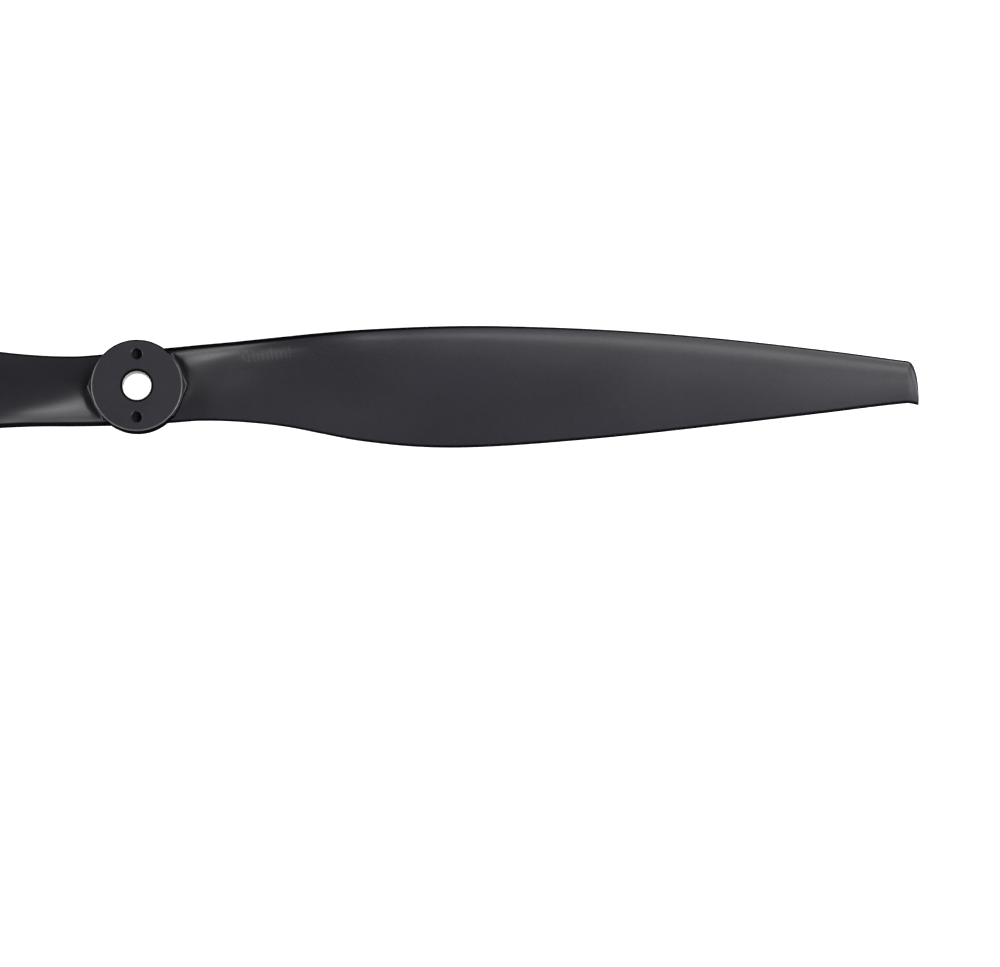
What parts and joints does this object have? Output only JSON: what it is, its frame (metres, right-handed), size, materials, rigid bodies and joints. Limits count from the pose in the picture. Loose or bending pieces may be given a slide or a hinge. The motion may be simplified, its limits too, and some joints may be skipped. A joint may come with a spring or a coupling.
{
  "type": "propeller",
  "caption": "Fixed-pitch propeller for a large model aircraft or multirotor: slim twisted blades with bent tips on a round hub with a shaft bore and blind drive-pin holes.",
  "frame": {"origin": "centre of the hub's back face", "axes": "+Z along the spin axis towards the front of the hub, +X along the right blade, +Y towards that blade's leading edge"},
  "size_m": [0.4316, 0.0332, 0.0203],
  "materials": {
    "skin": "satin moulded carbon composite",
    "hub": "satin moulded carbon composite",
    "core": "plain",
    "carbon_strip": "resin-bound fibre",
    "resin": "cured resin",
    "bush": "machined"
  },
  "bodies": {
    "root": {"hub_block": "hub", "hub_front_facing": "hub", "hub_back_facing": "hub", "bore_bush": "bush", "right_front_skin": "skin", "right_back_skin": "skin", "right_blade_core": "core", "right_front_spar_cap": "carbon_strip", "right_back_spar_cap": "carbon_strip", "right_leading_edge_strip": "resin", "right_trailing_edge_bead": "resin", "right_tip_cap": "skin", "left_front_skin": "skin", "left_back_skin": "skin", "left_blade_core": "core", "left_front_spar_cap": "carbon_strip", "left_back_spar_cap": "carbon_strip", "left_leading_edge_strip": "resin", "left_trailing_edge_bead": "resin", "left_tip_cap": "skin"}
  },
  "joints": []
}
